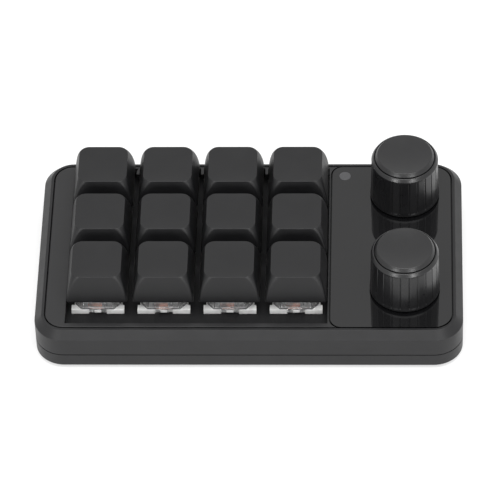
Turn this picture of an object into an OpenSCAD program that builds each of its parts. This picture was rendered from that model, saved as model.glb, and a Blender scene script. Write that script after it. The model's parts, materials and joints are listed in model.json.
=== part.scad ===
// Desk keypad with twelve keys and two push-and-turn knobs.
// +X is to the right, +Y is away from the user, +Z is up. The origin lies on the desk, under the case's middle.
// Sizes are in millimetres.

/* [Case] */
// Height of the room between the case's floor and the circuit board
room_h = 1.3; // [1.3:0.1:4]
// Radius of the case's corners seen from above
case_r = 8.5; // [7.5:0.1:9.5]
// Thickness of the case's side walls
wall = 2.2; // [2:0.1:2.4]
// Thickness of the case's floor
floor_t = 1.4; // [1.2:0.1:1.6]
// Height of the split between the two shells above the underside
split_h = 4.5; // [4:0.1:5]
// Width of the chamfer round the deck, seen from above
chamfer_w = 2.07; // [1.5:0.01:2.6]
// Height of the chamfer round the deck
chamfer_h = 2.37; // [1.5:0.01:3]
// Width of the chamfer round the underside
foot_chamfer = 0.5; // [0.3:0.1:0.8]
// Width of the flat rim between the chamfer and the groove
rim_w = 0.78; // [0.6:0.02:1.4]
// Width of the dark groove round the two inlays
groove_w = 0.42; // [0.3:0.02:0.6]
// Thickness of the two inlays, the key bezel and the knob panel
inlay_t = 1.6; // [1.2:0.1:1.8]
// Thickness of the deck under the inlays
deck_t = 1.5; // [1.2:0.1:1.7]
// Height of the shadow line at the split
seam_h = 0.3; // [0.2:0.05:0.5]
// Depth of the shadow line at the split
seam_depth = 0.5; // [0.3:0.1:0.8]
// How far the feet stand out below the case
foot_proud = 1; // [0.6:0.1:2]
// Diameter of a rubber foot
foot_d = 7.8; // [6:0.1:8]
// Diameter of the case screws' shanks
screw_d = 2.5; // [2:0.1:2.8]
// Length of the case screws under their heads
screw_l = 6; // [5:0.5:7]

/* [Key well] */
// Distance between neighbouring keys' centres
key_pitch = 19.05; // [18.6:0.05:20]
// Width of the bezel's strip at the left of the well
left_strip = 5.73; // [5.6:0.01:8]
// Width of the bezel's strip in front of the well
front_strip = 1.43; // [1.2:0.01:3]
// Width of the bezel's strip behind the well
back_strip = 0.53; // [0.5:0.01:3]
// Length of the bezel's teeth between the back row's keycaps
tooth_l = 2.43; // [2:0.01:3]
// Width of the bezel's rib between the well and the knob panel
rib_w = 0.45; // [0.4:0.01:2]
// Length of the open apron in front of the front row of keys
apron_l = 5.9; // [5.5:0.1:12]
// Gap between the keycaps' base and the well's side and back walls
well_gap = 0.27; // [0.2:0.01:1]
// Depth of the well's floor, the switch plate, below the deck
plate_drop = 3.8; // [3.6:0.1:3.9]
// Thickness of the switch plate
plate_t = 1.5; // [1.2:0.1:1.6]
// Thickness of the circuit board
board_t = 1.6; // [1:0.1:1.7]

/* [Keycaps] */
// Width of a keycap at its base
cap_base_w = 17.6; // [17.2:0.05:18.2]
// Width of a keycap across its top
cap_top_w = 14.2; // [12.5:0.1:15]
// Height of a keycap from its base to its top edge
cap_h = 8.9; // [8.4:0.05:10]
// Thickness of a keycap's walls
cap_wall = 1.25; // [1:0.05:1.3]
// Thickness of a keycap under its dish
cap_roof = 1.4; // [1.2:0.1:1.8]
// Depth of the dish in a keycap's top
cap_dish = 0.5; // [0.2:0.05:0.8]
// Corner radius of a keycap's base
cap_base_r = 0.8; // [0.5:0.1:2]
// Corner radius of a keycap's top
cap_top_r = 2.8; // [2:0.1:4]
// Travel of a key
key_travel = 4; // [3:0.1:4]

/* [Knobs] */
// Distance between the two knobs' centres
knob_pitch = 37.5; // [36:0.1:38.5]
// Distance from the knob panel's right edge to the knobs' centres
knob_inset = 13.48; // [13:0.01:15]
// Distance from the knob panel's back edge to the back knob's centre
knob_back_gap = 11.165; // [11:0.005:12]
// Width of the knob panel
panel_w = 34.78; // [33:0.01:40]
// Corner radius of the knob panel next to the key bezel
panel_r = 3.2; // [2:0.1:4]
// Radius of a knob at its base
knob_base_r = 10.15; // [9.9:0.05:11]
// Radius of a knob at the top of its ribs
knob_top_r = 9.75; // [9.6:0.05:9.85]
// Height of a knob from its base to its cap's rim
knob_h = 16; // [15:0.1:20]
// Gap between the knob panel and a knob's base
knob_gap = 0.8; // [0.7:0.05:2]
// Number of ribs round a knob
rib_count = 24; // [16:1:36]
// Width of the grooves between a knob's ribs
rib_groove_w = 0.35; // [0.2:0.05:0.6]
// Depth of the grooves between a knob's ribs
rib_groove_depth = 0.3; // [0.15:0.05:0.5]
// Depth of the dish in a knob's cap
knob_dish = 0.7; // [0.3:0.1:1]
// Travel of a knob's push
push_travel = 0.5; // [0.3:0.1:0.5]
// Diameter of the encoder shafts
shaft_d = 6; // [5.6:0.1:6.2]
// Diameter of the encoder bushings' necks
neck_d = 7; // [6.8:0.1:8]
// Length of the encoder bushings' necks
neck_l = 5.5; // [4.5:0.1:5.8]

/* [Indicator and socket] */
// Diameter of the indicator window
window_d = 3.5; // [2.5:0.1:4]
// Distance from the knob panel's left and back edges to the indicator window's centre
window_inset = 3.7; // [3:0.05:6]
// Width of the data socket's shell
socket_w = 8.94; // [8.5:0.02:9.2]
// Height of the data socket's shell
socket_h = 3.26; // [3:0.02:3.4]
// Length of the data socket's shell
socket_l = 7.35; // [6.5:0.05:7.5]
// How far the data socket's mouth lies inside the back of the case
socket_sink = 0.2; // [0:0.1:0.4]

/* [Hidden] */
$fn = 48;
cols = 4;
rows = 3;
key_count = cols * rows;

// Clearances
slack = 0.05;      // pieces that sit in each other without moving
running = 0.05;    // a shaft in its bore, on the radius
moving = 0.3;      // moving faces that only pass each other
over = 1;          // how far a cutting shape runs past a face
sink = 0.2;        // how far joined shapes reach into each other
loose = 0.2;       // a screw or window in its hole, on the radius
tiny = 0.1;        // a gap that only keeps two faces from touching
press = 0.02;      // a knob pressed on its shaft, on the radius
thread = 0.03;     // a screw in its post, on the radius

// Well, inlays and case outline
well_w = (cols - 1) * key_pitch + cap_base_w + 2 * well_gap;
well_d = (rows - 1) * key_pitch + cap_base_w + well_gap + apron_l;
inlay_w = left_strip + well_w + rib_w + groove_w + panel_w;
inlay_d = front_strip + well_d + back_strip;
edge_w = chamfer_w + rim_w + groove_w;
case_w = inlay_w + 2 * edge_w;
case_d = inlay_d + 2 * edge_w;
inlay_r = case_r - edge_w;
well_x0 = left_strip - inlay_w / 2;
well_x1 = well_x0 + well_w;
well_y0 = front_strip - inlay_d / 2;
well_y1 = well_y0 + well_d;
key_x0 = well_x0 + well_gap + cap_base_w / 2;
key_y0 = well_y1 - well_gap - cap_base_w / 2;
tooth_w = key_pitch - cap_base_w - 2 * moving;
panel_x0 = inlay_w / 2 - panel_w;
knob_x = inlay_w / 2 - knob_inset;
knob_mid_y = inlay_d / 2 - knob_back_gap - knob_pitch / 2;

// Levels above the desk
base_z = foot_proud;
floor_z = base_z + floor_t;
split_z = base_z + split_h;
board_under_z = floor_z + room_h;
board_z = board_under_z + board_t;
sw_below = 5;
plate_z = board_z + sw_below;
case_z = plate_z + plate_drop;
inlay_z = case_z - inlay_t;
deck_z = inlay_z - deck_t;

// Switches, above and below the plate
sw_hole_w = 14;
sw_body_w = sw_hole_w - 2 * slack;
sw_flange_out = 0.65;
sw_flange_w = sw_body_w + 2 * sw_flange_out;
sw_flange_h = 1.65;
sw_above = 6.6;
sw_wall = 0.85;
sw_floor_t = 1.2;
sw_post_d = 3.9;
sw_post_l = 3.3;
sw_tube_d = 3.4;
sw_tube_h = 2.3;
sw_notch_w = 5.1;
sw_ear_l = 2;
sw_tab_w = 2;
sw_tab_h = 0.7;
sw_tab_lift = 0.5;
sw_latch_t = 0.5;
sw_top_wall = 0.8;
sw_top_in = [1, 0.1];
sw_top_cut = [1.9, 2.1];
sw_top_side = sw_flange_w / 2 - sw_top_in[0];
sw_top_front = sw_flange_w / 2 - sw_top_in[1];
sw_top_face = sw_top_side - sw_top_cut[0];
sw_top_shoulder = sw_top_front - sw_top_cut[1];
sw_top_scale = [0.87, 0.7];
sw_floor_z = board_z + sw_floor_t;
sw_top_z = plate_z + sw_above;
flange_z = plate_z + sw_flange_h;

// Stems, springs and contacts
stem_w = 7;
stem_d = 5.4;
stem_block_h = 4.9;
stem_wing_w = 9;
stem_wing_h = 1.5;
stem_block_z = sw_top_z - stem_block_h;
stem_wing_z = sw_top_z - sw_top_wall - loose - stem_wing_h;
cross_l = 4;
cross_t = 1.17;
cross_h = 3.6;
pole_d = 2.4;
pole_bore_floor = 0.4;
pole_bore_z = board_z - sw_post_l + pole_bore_floor;
pole_z = pole_bore_z + key_travel + moving;
spring_od = 4.5;
spring_id = 3.9;
spring_roof = 1.5;
spring_seat_z = sw_top_z - spring_roof;
contact_t = 0.25;
contact_w = 2.4;
contact_rise = 3;
contact_top_z = plate_z + contact_rise;
contact_strip_h = 1;
pin_w = 0.9;
pin_t = 0.5;
pin_hole_d = 1.4;
pin_tail = 0.8;
pin_a = [3.81, -2.54];
pin_b = [-2.54, -5.08];
fixed_contact_y = -4.6;

// Keycaps
cap_rest_gap = 0.4;
cap_z = flange_z + key_travel + cap_rest_gap;
cap_roof_z = cap_z + cap_h - cap_dish - cap_roof;
cap_post_d = 5.5;
cap_post_z = sw_top_z + tiny;
cap_slot_top_z = sw_top_z + cross_h + tiny;
cap_bulge = 1.46;
cap_corner_bulge = 3.8;
cap_edge = 0.35;
cap_inner_r = 0.3;
cap_inner_level = 0.4;
corner_steps = 5;
ring_n = 4 * (corner_steps + 1);
cap_levels = [0, 0.2, 0.45, 0.7, 0.88];
cap_dish_rings = [0.7, 0.35];

// Board outline
board_side_gap = 6.4;
board_front_gap = 2.5;
board_back_gap = 1;
board_x1 = case_w / 2 - wall - board_side_gap;
board_y0 = -(case_d / 2 - wall - board_front_gap);
board_y1 = case_d / 2 - wall - board_back_gap;
plate_lap = 1;
standoff_d = 4;
standoff_inset = 2.4;
standoff_x = [-board_x1 + standoff_inset, panel_x0 + standoff_inset, board_x1 - standoff_inset];
standoff_y = [board_y0 + standoff_inset, knob_mid_y, board_y1 - standoff_inset];
diode_size = [2.7, 1.6, 1];
diode_y = 5.6;
chip_w = 7;
chip_h = 1.2;
chip_pin_count = 8;
chip_pin_pitch = 0.8;
chip_pin_w = 0.4;
chip_pin_l = 1;
chip_pin_t = 0.25;
chip_in = 9.4;
chip_at = [panel_x0 + chip_in, knob_mid_y];
crystal_size = [2.5, 3.2, 0.8];
regulator_size = [4.5, 2.5, 1.5];
capacitor_size = [0.8, 1.6, 0.8];
capacitor_pitch = 2;
neighbour_gap = 3.75;

// Case screws, posts and feet
post_d = 5;
post_side_gap = 3;
post_end_gap = 5;
post_x = case_w / 2 - wall - post_side_gap;
post_y = case_d / 2 - wall - post_end_gap;
boss_d = 7;
boss_h = 1.2;
boss_z = floor_z + boss_h;
head_d = 4.4;
head_h = 1.2;
head_slot_w = 0.7;
head_slot_l = 2.6;
head_slot_depth = 0.6;
head_z = base_z + head_h + tiny;
lip_t = 1;
lip_h = 1.2;
lip_gap = 0.15;
foot_sink = 0.6;
foot_side_gap = 12.6;
foot_end_gap = 9;
foot_x = case_w / 2 - foot_side_gap;
foot_y = case_d / 2 - foot_end_gap;
foot_edge = 0.6;
pocket_gap = 0.25;
pocket_d = sw_post_d + 2 * (pocket_gap + moving);

// Encoders and knobs
knob_z = case_z + knob_gap;
enc_w = 12;
enc_base_h = 4.5;
enc_flange_h = 1.5;
enc_wall_t = 0.3;
enc_leg_w = 2;
enc_flange_z = board_z + enc_base_h;
enc_neck_z = enc_flange_z + enc_flange_h;
neck_top_z = enc_neck_z + neck_l;
enc_window_w = enc_w + 2 * (enc_wall_t + moving);
enc_cavity_r = 4.9;
enc_floor_t = 1.2;
enc_cavity_z = board_z + enc_floor_t;
enc_pin_out = 1;
enc_pin_pitch = 2.5;
enc_pin_lift = 0.5;
strap_w = 10;
rotor_r = enc_cavity_r - moving;
rotor_t = 1.5;
rotor_z = enc_flange_z - moving - rotor_t;
dome_r = 2.4;
dome_h = 0.4;
shaft_z = enc_cavity_z + dome_h + push_travel + tiny;
shaft_key_w = 3.2;
shaft_key_d = 5;
shaft_shoulder_z = enc_flange_z + push_travel + tiny;
shaft_flat = 1.5;
hub_r = 5;
hub_z = neck_top_z + push_travel + moving;
shoulder_drop = 1.2;
shoulder_h = 1;
shoulder_w = 0.6;
knob_rim_w = 0.3;
seat_depth = 0.9;
base_ring_h = 1.2;
base_ring_w = 0.3;
knob_wall = 1.5;
knob_roof = 1.6;
bore_end = 1;
rib_end_gap = 0.15;
cap_seat_gap = 0.2;
cap_side_h = 0.4;
cap_bevel = [0.3, 0.7];
cap_edge_drop = 0.15;
cap_lip_w = 1.35;
cap_lip_drop = 0.1;
rim_z = knob_z + knob_h - shoulder_drop;
rib_top_z = rim_z - shoulder_h;
seat_z = rim_z - seat_depth;
cavity_top_z = seat_z - knob_roof;
bore_top_z = cavity_top_z - bore_end;
shaft_top_z = bore_top_z - loose;
knob_cap_r = knob_top_r - shoulder_w - knob_rim_w - cap_seat_gap;
dish_r = knob_cap_r - cap_lip_w;
dish_steps = 8;

// Indicator and socket
window_x = panel_x0 + window_inset;
window_y = inlay_d / 2 - window_inset;
pipe_d = window_d - 2 * slack;
lamp_size = [3.2, 2.8, 1];
socket_offset = 3.91;
socket_x = knob_x - socket_offset;
socket_y1 = case_d / 2 - socket_sink;
socket_y0 = socket_y1 - socket_l;
socket_wall = 0.3;
socket_slot_gap = 0.35;
socket_back_l = 2.4;
tongue_w = 6.6;
tongue_t = 0.7;
tongue_l = 4.4;

module at_keys() {
    for (k = [0 : key_count - 1])
        translate(key_place(k))
            children();
}

module at_knobs() {
    for (s = [1, -1])
        translate([knob_x, knob_mid_y + s * knob_pitch / 2, 0])
            children();
}

module at_posts() {
    for (x = [-1, 1], y = [-1, 0, 1])
        translate([x * post_x, y * post_y, 0])
            children();
}

// Place of a key, counted from the back left, row by row
function key_place(k) = [key_x0 + (k % cols) * key_pitch, key_y0 - floor(k / cols) * key_pitch, 0];

// Place of a knob, 1 at the back and 2 at the front
function knob_place(k) = [knob_x, knob_mid_y + (k == 1 ? 1 : -1) * knob_pitch / 2, 0];

// A rectangle about the origin with round corners
module rounded(w, d, r) {
    square([w - 2 * r, d], center = true);
    square([w, d - 2 * r], center = true);
    for (x = [-1, 1], y = [-1, 1])
        translate([x * (w / 2 - r), y * (d / 2 - r)])
            circle(r = r);
}

// A rounded block of height h whose top edge has a chamfer, chamfer[0] wide and chamfer[1] high
module chamfered(w, d, r, h, chamfer) {
    rotate([90, 0, 90])
        linear_extrude(w - 2 * r, center = true)
            chamfered_side(-d / 2, d / 2, h, chamfer);
    rotate([90, 0, 0])
        linear_extrude(d - 2 * r, center = true)
            chamfered_side(-w / 2, w / 2, h, chamfer);
    for (x = [-1, 1], y = [-1, 1])
        translate([x * (w / 2 - r), y * (d / 2 - r), 0])
            rotate_extrude()
                polygon([[0, 0], [r, 0], [r, h - chamfer[1]], [r - chamfer[0], h], [0, h]]);
}

module chamfered_side(x0, x1, h, chamfer) {
    side_h = h - chamfer[1];
    polygon([[x0, 0], [x1, 0], [x1, side_h], [x1 - chamfer[0], h], [x0 + chamfer[0], h], [x0, side_h]]);
}

// A box from its lowest corner's x and y to its highest, between two levels
module box(x0, x1, y0, y1, z0, z1) {
    translate([x0, y0, z0])
        cube([x1 - x0, y1 - y0, z1 - z0]);
}

// The case's inside, from one level to another, with its walls thinner by the given amount
module inside(z0, z1, thinner = 0) {
    translate([0, 0, z0])
        linear_extrude(z1 - z0)
            rounded(case_w - 2 * (wall - thinner), case_d - 2 * (wall - thinner), case_r - wall + thinner);
}

// The slot in the back wall that the plug goes through
module socket_slot() {
    translate([socket_x, case_d / 2 + over, board_z + socket_h / 2])
        rotate([90, 0, 0])
            linear_extrude(wall + lip_t + over)
                rounded(socket_w + 2 * socket_slot_gap, socket_h + 2 * socket_slot_gap, socket_h / 2);
}

module bottom_case() {
    color([0.11, 0.11, 0.12])
        difference() {
            union() {
                difference() {
                    union() {
                        translate([0, 0, split_z])
                            mirror([0, 0, 1])
                                chamfered(case_w, case_d, case_r, split_h, [foot_chamfer, foot_chamfer]);
                        inside(split_z - sink, split_z + lip_h, lip_t);
                    }
                    inside(floor_z, split_z + lip_h + over);
                }
                at_posts()
                    translate([0, 0, floor_z - sink])
                        cylinder(d = boss_d, h = boss_h + sink);
                for (x = standoff_x, y = standoff_y)
                    translate([x, y, floor_z - sink])
                        cylinder(d = standoff_d, h = board_under_z - floor_z + sink);
            }
            at_posts() {
                translate([0, 0, base_z - over])
                    cylinder(d = head_d + 2 * loose, h = head_z - base_z + over);
                translate([0, 0, base_z])
                    cylinder(d = screw_d + 2 * loose, h = boss_z - base_z + over);
            }
            at_keys()
                translate([0, 0, board_z - sw_post_l - pocket_gap])
                    cylinder(d = pocket_d, h = floor_z);
            for (x = [-1, 1], y = [-1, 1])
                translate([x * foot_x, y * foot_y, base_z - over])
                    cylinder(d = foot_d + 2 * slack, h = foot_sink + over);
            socket_slot();
        }
}

module top_case() {
    color([0.12, 0.12, 0.13])
        difference() {
            union() {
                difference() {
                    translate([0, 0, split_z])
                        chamfered(case_w, case_d, case_r, case_z - split_z, [chamfer_w, chamfer_h]);
                    inside(split_z - over, deck_z);
                    inside(split_z - over, split_z + lip_h + loose, lip_t + lip_gap);
                    translate([0, 0, inlay_z])
                        linear_extrude(inlay_t + over)
                            rounded(inlay_w + 2 * groove_w, inlay_d + 2 * groove_w, inlay_r + groove_w);
                    translate([0, 0, split_z - over])
                        linear_extrude(seam_h + over)
                            difference() {
                                square([2 * case_w, 2 * case_d], center = true);
                                rounded(case_w - 2 * seam_depth, case_d - 2 * seam_depth, case_r - seam_depth);
                            }
                }
                at_posts()
                    translate([0, 0, boss_z])
                        cylinder(d = post_d, h = deck_z - boss_z + sink);
                plate_rails();
            }
            box(well_x0, well_x1, well_y0, well_y1, split_z, case_z + over);
            at_knobs()
                translate([0, 0, case_z / 2])
                    linear_extrude(case_z)
                        square(enc_window_w, center = true);
            translate([window_x, window_y, deck_z - over])
                cylinder(d = window_d + 2 * loose, h = case_z);
            at_posts()
                translate([0, 0, boss_z - over])
                    cylinder(d = screw_d + 2 * thread, h = screw_l + over);
            socket_slot();
        }
}

// The ring under the deck that holds the switch plate down
module plate_rails() {
    difference() {
        box(well_x0 - plate_lap, well_x1 + plate_lap, well_y0 - plate_lap, well_y1 + plate_lap,
            plate_z, deck_z + sink);
        box(well_x0, well_x1, well_y0, well_y1, plate_z - over, deck_z + over);
    }
}

// The bezel round the well, with teeth that reach in between the back row's keycaps
module key_bezel() {
    color([0.14, 0.14, 0.15])
        translate([0, 0, inlay_z])
            linear_extrude(inlay_t)
                difference() {
                    rounded(inlay_w, inlay_d, inlay_r);
                    panel_outline(groove_w);
                    difference() {
                        translate([well_x0, well_y0])
                            square([well_w, well_d]);
                        for (k = [1 : cols - 1])
                            translate([key_x0 + (k - 0.5) * key_pitch, well_y1])
                                square([tooth_w, 2 * tooth_l], center = true);
                    }
                }
}

// The knob panel's outline before its right corners are rounded, grown all round by the given amount
module panel_outline(grow) {
    long_w = panel_w + 2 * case_r;
    translate([panel_x0 + long_w / 2, 0])
        rounded(long_w + 2 * grow, inlay_d + 2 * grow, panel_r + grow);
}

module knob_panel() {
    color([0.07, 0.07, 0.08])
        translate([0, 0, inlay_z])
            linear_extrude(inlay_t)
                difference() {
                    intersection() {
                        rounded(inlay_w, inlay_d, inlay_r);
                        panel_outline(0);
                    }
                    at_knobs()
                        circle(d = neck_d + 2 * moving);
                    translate([window_x, window_y])
                        circle(d = window_d);
                }
}

module indicator_window() {
    color([0.3, 0.3, 0.32])
        translate([window_x, window_y, board_z + lamp_size[2] + slack])
            cylinder(d = pipe_d, h = case_z - board_z - lamp_size[2] - slack);
}

module indicator_lamp() {
    color([0.85, 0.85, 0.8])
        translate([window_x, window_y, board_z + lamp_size[2] / 2])
            cube(lamp_size, center = true);
}

module switch_plate() {
    color([0.09, 0.09, 0.1])
        difference() {
            box(well_x0 - plate_lap, well_x1 + plate_lap, well_y0 - plate_lap, well_y1 + plate_lap,
                plate_z - plate_t, plate_z);
            at_keys()
                translate([0, 0, plate_z - plate_t / 2])
                    cube([sw_hole_w, sw_hole_w, plate_t + 2 * over], center = true);
        }
}

// One white lower housing: body, flange with its ears, notches and catches, guide tube and post
module switch_bottom() {
    cavity_w = sw_body_w - 2 * sw_wall;
    difference() {
        union() {
            difference() {
                union() {
                    translate([0, 0, board_z])
                        linear_extrude(sw_below)
                            square(sw_body_w, center = true);
                    translate([0, 0, plate_z])
                        linear_extrude(sw_flange_h)
                            difference() {
                                square(sw_flange_w, center = true);
                                for (s = [-1, 1])
                                    translate([0, s * sw_flange_w / 2])
                                        square([sw_notch_w, sw_flange_w - sw_body_w], center = true);
                                for (s = [-1, 1])
                                    translate([s * sw_flange_w / 2, 0])
                                        square([2 * sw_top_in[0], sw_flange_w - 2 * sw_ear_l], center = true);
                            }
                }
                translate([0, 0, sw_floor_z])
                    linear_extrude(sw_below + sw_above)
                        square(cavity_w, center = true);
            }
            for (a = [0, 180])
                rotate(a)
                    box(-sw_tab_w / 2, sw_tab_w / 2, sw_body_w / 2 - moving, sw_flange_w / 2,
                        plate_z + sw_tab_lift, plate_z + sw_tab_lift + sw_tab_h);
            translate([0, 0, board_z - sw_post_l])
                cylinder(d = sw_post_d, h = sw_post_l + sw_floor_t / 2);
            translate([0, 0, board_z + sw_floor_t / 2])
                cylinder(d = sw_tube_d, h = sw_floor_t / 2 + sw_tube_h);
        }
        translate([0, 0, pole_bore_z])
            cylinder(d = pole_d + 2 * tiny, h = sw_below + sw_post_l);
        for (p = [pin_a, pin_b])
            translate([p[0], p[1], board_z - over])
                cylinder(d = pin_hole_d, h = sw_floor_t + 2 * over);
    }
}

module switch_bottoms() {
    color([0.92, 0.92, 0.9])
        at_keys()
            switch_bottom();
}

// Outline of a clear upper housing at its foot, drawn in all round by the given amount
module switch_top_outline(inward) {
    side = sw_top_side - inward;
    front = sw_top_front - inward;
    face = sw_top_face - inward / 2;
    shoulder = sw_top_shoulder - inward / 2;
    polygon([
        [side, -shoulder], [side, shoulder], [face, front], [-face, front],
        [-side, shoulder], [-side, -shoulder], [-face, -front], [face, -front]
    ]);
}

// One clear upper housing, open at the bottom, with the stem's opening in its roof and a latch at each end
module switch_top() {
    foot_z = flange_z + slack;
    difference() {
        translate([0, 0, foot_z])
            linear_extrude(sw_top_z - foot_z, scale = sw_top_scale, slices = 1, $fn = 8)
                switch_top_outline(0);
        translate([0, 0, foot_z - slack / 5])
            linear_extrude(sw_top_z - foot_z - sw_top_wall, scale = sw_top_scale, slices = 1, $fn = 8)
                switch_top_outline(sw_top_wall);
        translate([0, 0, sw_top_z])
            cube([stem_w + 2 * loose, stem_d + 2 * loose, 4 * sw_top_wall], center = true);
    }
    for (a = [0, 180])
        rotate(a)
            difference() {
                box(-sw_notch_w / 2 + moving, sw_notch_w / 2 - moving, sw_body_w / 2 + slack,
                    sw_body_w / 2 + sw_latch_t - slack, plate_z + moving, foot_z + moving);
                box(-sw_tab_w / 2 - tiny, sw_tab_w / 2 + tiny, sw_body_w / 2, sw_body_w / 2 + sw_latch_t,
                    plate_z + sw_tab_lift - tiny, plate_z + sw_tab_lift + sw_tab_h + tiny);
            }
}

module switch_tops() {
    color([0.75, 0.75, 0.75])
        at_keys()
            switch_top();
}

// The two copper contacts of one switch, each a leaf, a foot and a pin
module contact_pair() {
    leaf_y = -(sw_body_w / 2 - sw_wall - slack);
    box(-contact_w / 2, contact_w / 2, leaf_y, leaf_y + contact_t, sw_floor_z, contact_top_z);
    box(-contact_w / 2, pin_a[0] + pin_w / 2, leaf_y, leaf_y + contact_t,
        sw_floor_z, sw_floor_z + contact_strip_h);
    box(pin_a[0] - pin_w / 2, pin_a[0] + pin_w / 2, leaf_y, pin_a[1] + pin_t / 2,
        sw_floor_z, sw_floor_z + contact_t);
    contact_pin(pin_a);
    box(pin_b[0] - pin_w / 2, pin_b[0] - pin_w / 2 + contact_w, fixed_contact_y, fixed_contact_y + contact_t,
        sw_floor_z, contact_top_z - contact_t);
    box(pin_b[0] - pin_w / 2, pin_b[0] + pin_w / 2, pin_b[1] - pin_t / 2, fixed_contact_y + contact_t,
        sw_floor_z, sw_floor_z + contact_t);
    contact_pin(pin_b);
}

module contact_pin(p) {
    box(p[0] - pin_w / 2, p[0] + pin_w / 2, p[1] - pin_t / 2, p[1] + pin_t / 2,
        board_under_z - pin_tail, sw_floor_z + contact_t);
}

module switch_contacts() {
    color([0.8, 0.5, 0.3])
        at_keys()
            contact_pair();
}

// Each coil spring's envelope: a plain sleeve of its two diameters
module key_springs() {
    color([0.7, 0.7, 0.72])
        at_keys()
            translate([0, 0, sw_floor_z])
                linear_extrude(spring_seat_z - sw_floor_z)
                    difference() {
                        circle(d = spring_od);
                        circle(d = spring_id);
                    }
}

// The cross on top of a stem, or the slot for it when grown
module cross_shape(grow) {
    square([cross_l + 2 * grow, cross_t + 2 * grow], center = true);
    square([cross_t + 2 * grow, cross_l + 2 * grow], center = true);
}

module key_stem(k) {
    color([0.75, 0.2, 0.18])
        translate(key_place(k - 1)) {
            difference() {
                union() {
                    translate([0, 0, stem_block_z])
                        linear_extrude(stem_block_h)
                            square([stem_w, stem_d], center = true);
                    translate([0, 0, stem_wing_z])
                        linear_extrude(stem_wing_h)
                            square([stem_wing_w, stem_d], center = true);
                    translate([0, 0, sw_top_z - sink])
                        linear_extrude(cross_h + sink)
                            cross_shape(0);
                }
                translate([0, 0, stem_block_z - over])
                    cylinder(d = spring_od + 2 * moving, h = spring_seat_z - stem_block_z + over);
            }
            translate([0, 0, pole_z])
                cylinder(d = pole_d, h = spring_seat_z - pole_z + sink);
        }
}

// Half the width of a keycap, t of the way up from its base
function cap_half(t) = cap_base_w / 2 - (cap_base_w - cap_top_w) / 2 * pow(t, cap_bulge);

// Corner radius of a keycap, t of the way up from its base
function cap_corner(t) = cap_base_r + (cap_top_r - cap_base_r) * pow(t, cap_corner_bulge);

// Points of a square with round corners, anticlockwise seen from above
function ring(half, r, z) = [
    for (q = [0 : 3], k = [0 : corner_steps])
        let (a = 90 * (q + k / corner_steps), x = q == 0 || q == 3 ? 1 : -1, y = q < 2 ? 1 : -1)
            [x * (half - r) + r * cos(a), y * (half - r) + r * sin(a), z]
];

// The inner wall's ring, t of the way up, at a height z
function inner_ring(t, z) = ring(cap_half(t) - cap_wall, max(cap_corner(t) - cap_wall, cap_inner_r), z);

// A keycap's rings from its inside roof, down its inner walls, up its outer walls and in over its dish
function cap_rings() = concat(
    [inner_ring(1, cap_roof_z)],
    [inner_ring(cap_inner_level, cap_z + cap_inner_level * cap_h)],
    [inner_ring(0, cap_z)],
    [for (t = cap_levels) ring(cap_half(t), cap_corner(t), cap_z + t * cap_h)],
    [ring(cap_half(1) + cap_edge / 3, cap_corner(1), cap_z + cap_h - cap_edge)],
    [ring(cap_half(1) - cap_edge / 2, cap_corner(1) - cap_edge / 2, cap_z + cap_h)],
    [for (s = cap_dish_rings) ring(cap_half(1) * s, cap_corner(1) * s, cap_z + cap_h - cap_dish * (1 - s * s))]
);

// A shell closed over a list of rings, with a point at each end
module lofted(rings, first, last) {
    n = ring_n;
    m = len(rings);
    points = concat([first], [for (r = rings) for (p = r) p], [last]);
    faces = concat(
        [for (k = [0 : n - 1]) [1 + k, 1 + (k + 1) % n, 0]],
        [for (i = [0 : m - 2], k = [0 : n - 1])
            [1 + (i + 1) * n + k, 1 + (i + 1) * n + (k + 1) % n, 1 + i * n + (k + 1) % n]],
        [for (i = [0 : m - 2], k = [0 : n - 1])
            [1 + (i + 1) * n + k, 1 + i * n + (k + 1) % n, 1 + i * n + k]],
        [for (k = [0 : n - 1]) [1 + m * n, 1 + (m - 1) * n + (k + 1) % n, 1 + (m - 1) * n + k]]
    );
    polyhedron(points, faces);
}

module keycap(k) {
    color([0.13, 0.13, 0.14])
        translate(key_place(k - 1)) {
            lofted(cap_rings(), [0, 0, cap_roof_z], [0, 0, cap_z + cap_h - cap_dish]);
            difference() {
                translate([0, 0, cap_post_z])
                    cylinder(d = cap_post_d, h = cap_roof_z - cap_post_z + cap_roof / 2);
                translate([0, 0, cap_post_z - over])
                    linear_extrude(cap_slot_top_z - cap_post_z + over)
                        cross_shape(slack);
            }
        }
}

module main_board() {
    color([0.05, 0.25, 0.12])
        difference() {
            box(-board_x1, board_x1, board_y0, board_y1, board_under_z, board_z);
            at_keys() {
                translate([0, 0, board_under_z - over])
                    cylinder(d = sw_post_d + moving, h = board_t + 2 * over);
                for (p = [pin_a, pin_b])
                    translate([p[0], p[1], board_under_z - over])
                        cylinder(d = pin_hole_d, h = board_t + 2 * over);
            }
            at_knobs() {
                for (p = encoder_pin_places())
                    translate([p[0], p[1], board_under_z - over])
                        cylinder(d = pin_hole_d, h = board_t + 2 * over);
                for (s = [-1, 1])
                    translate([0, s * (enc_w + enc_wall_t) / 2, board_z])
                        cube([enc_leg_w + 2 * moving, enc_wall_t + 2 * moving, 4 * board_t], center = true);
            }
        }
}

module controller_chip() {
    pin_start = -(chip_pin_count - 1) / 2 * chip_pin_pitch;
    color([0.08, 0.08, 0.08])
        translate([chip_at[0], chip_at[1], board_z]) {
            translate([0, 0, chip_h / 2])
                cube([chip_w, chip_w, chip_h], center = true);
            for (a = [0, 90], k = [0 : chip_pin_count - 1])
                rotate(a)
                    translate([pin_start + k * chip_pin_pitch, 0, chip_pin_t / 2])
                        cube([chip_pin_w, chip_w + 2 * chip_pin_l, chip_pin_t], center = true);
        }
}

module board_diodes() {
    color([0.1, 0.1, 0.1])
        at_keys()
            translate([0, diode_y, board_under_z - diode_size[2] / 2])
                cube(diode_size, center = true);
}

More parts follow.
